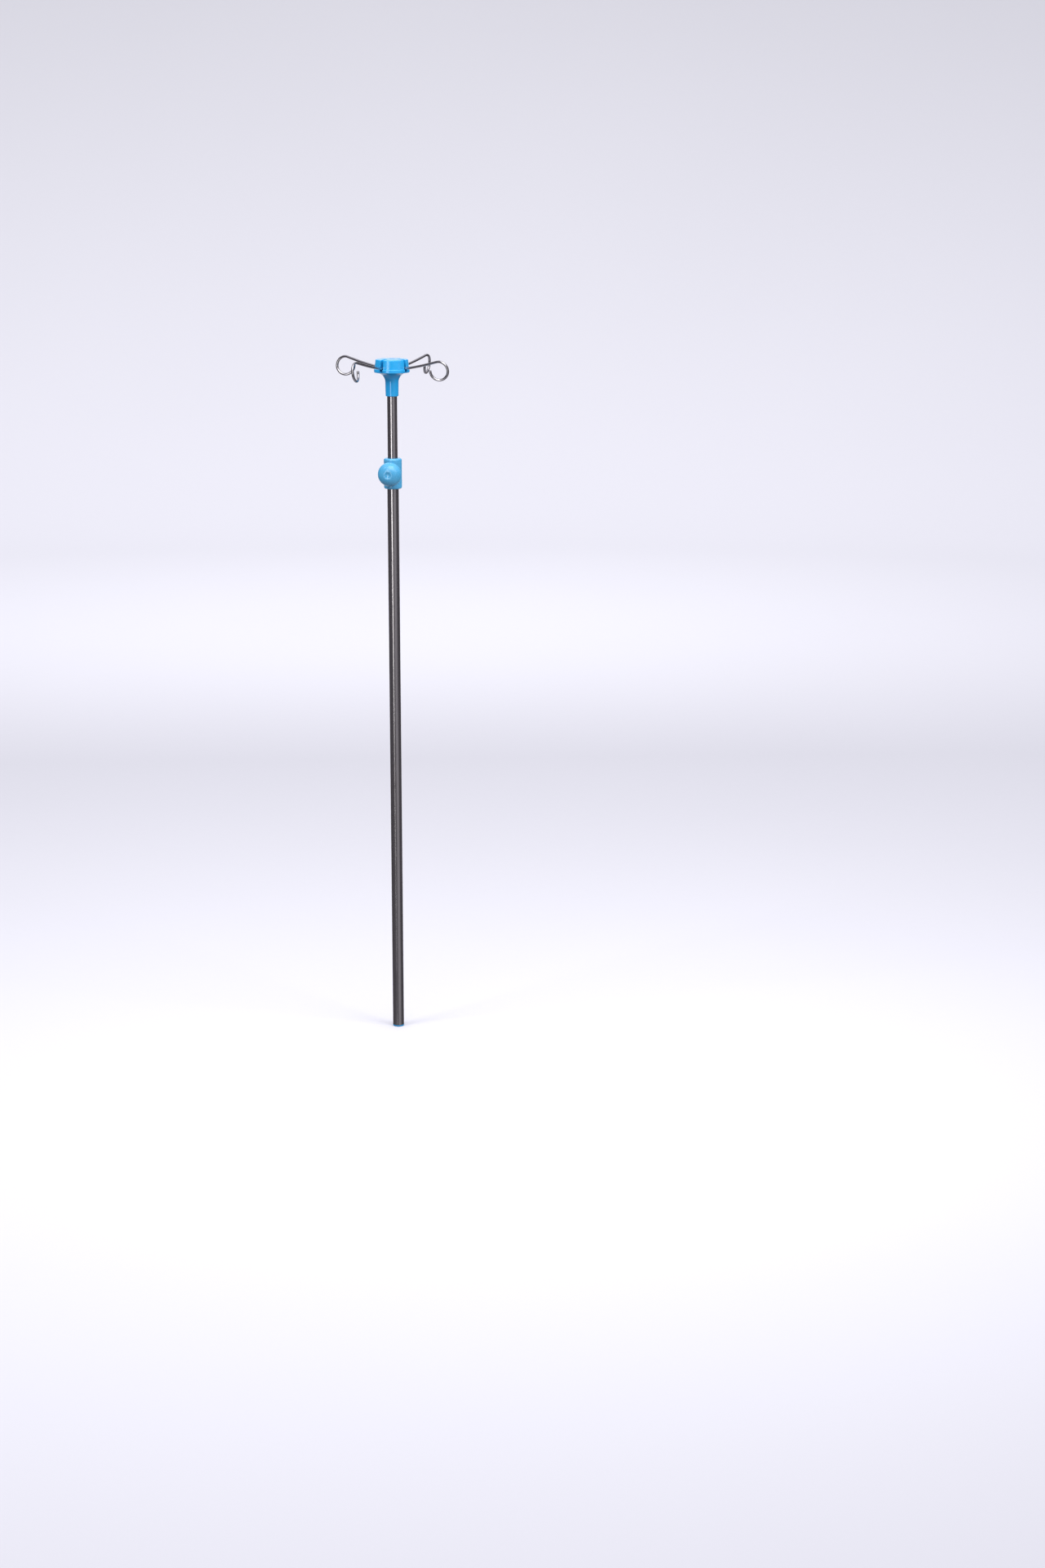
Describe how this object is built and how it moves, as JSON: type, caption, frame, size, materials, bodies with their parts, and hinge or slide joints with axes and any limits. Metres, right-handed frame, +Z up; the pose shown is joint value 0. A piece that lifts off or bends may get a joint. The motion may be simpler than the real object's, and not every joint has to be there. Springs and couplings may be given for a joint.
{
  "type": "chair-mounted iv drip pole",
  "caption": "Telescopic drip pole that plugs into a chair socket, with a clamp knob and a head of folding bag hooks.",
  "frame": {"origin": "centre of the pole's bottom face", "axes": "+Z up along the pole; the bag hooks stand along +X, +Y, -X and -Y"},
  "size_m": [0.2592, 0.2592, 1.3215],
  "materials": {
    "polished_stainless": "polished",
    "hook_wire": "polished",
    "blue_plastic": "glossy",
    "collar_plastic": "glossy",
    "nylon": "satin",
    "zinc_steel": "zinc plated",
    "brass": "turned"
  },
  "bodies": {
    "lower_pole": {"lower_tube": "polished_stainless", "bottom_plug": "blue_plastic", "clamp_collar": "collar_plastic", "collar_liner": "nylon", "clamp_nut": "zinc_steel", "collar_screw": "zinc_steel"},
    "mast_guide": {"guide_bush": "nylon"},
    "mast": {"upper_tube": "polished_stainless", "head_hub": "blue_plastic", "head_cover": "blue_plastic", "cover_screw": "zinc_steel", "neck_screw": "zinc_steel", "hook_pin_1": "zinc_steel", "hook_pin_2": "zinc_steel", "hook_pin_3": "zinc_steel", "hook_pin_4": "zinc_steel"},
    "pad": {"clamp_pad": "brass"},
    "knob": {"clamp_knob": "collar_plastic", "knob_stud": "zinc_steel"},
    "hook_1": {"bag_hook_1": "hook_wire"},
    "hook_2": {"bag_hook_2": "hook_wire"},
    "hook_3": {"bag_hook_3": "hook_wire"},
    "hook_4": {"bag_hook_4": "hook_wire"}
  },
  "joints": [
    {"name": "mast_slide", "type": "slide", "parent": "lower_pole", "child": "mast_guide", "axis": [0, 0, 1], "range_m": [-0.1155, 0.5]},
    {"name": "mast_swivel", "type": "hinge", "parent": "mast_guide", "child": "mast", "pos_m": [0, 0, 1.1], "axis": [0, 0, 1], "continuous": true},
    {"name": "hook_1_fold", "type": "hinge", "parent": "mast", "child": "hook_1", "pos_m": [0.022, 0, 1.301], "axis": [0, -1, 0], "range_deg": [0, 80]},
    {"name": "hook_2_fold", "type": "hinge", "parent": "mast", "child": "hook_2", "pos_m": [0, 0.022, 1.301], "axis": [1, 0, 0], "range_deg": [0, 80]},
    {"name": "hook_3_fold", "type": "hinge", "parent": "mast", "child": "hook_3", "pos_m": [-0.022, 0, 1.301], "axis": [0, 1, 0], "range_deg": [0, 80]},
    {"name": "hook_4_fold", "type": "hinge", "parent": "mast", "child": "hook_4", "pos_m": [0, -0.022, 1.301], "axis": [-1, 0, 0], "range_deg": [0, 80]},
    {"name": "clamp_travel", "type": "slide", "parent": "lower_pole", "child": "pad", "axis": [0.4003, -0.9164, 0], "range_m": [0, 0.0019]},
    {"name": "knob_turn", "type": "hinge", "parent": "pad", "child": "knob", "pos_m": [0, 0, 1.1035], "axis": [0.4003, -0.9164, 0], "range_deg": [0, 540]}
  ],
  "couplings": [
    {"joint": "clamp_travel", "follows": "knob_turn", "m_per_rad": 0.00019894}
  ]
}
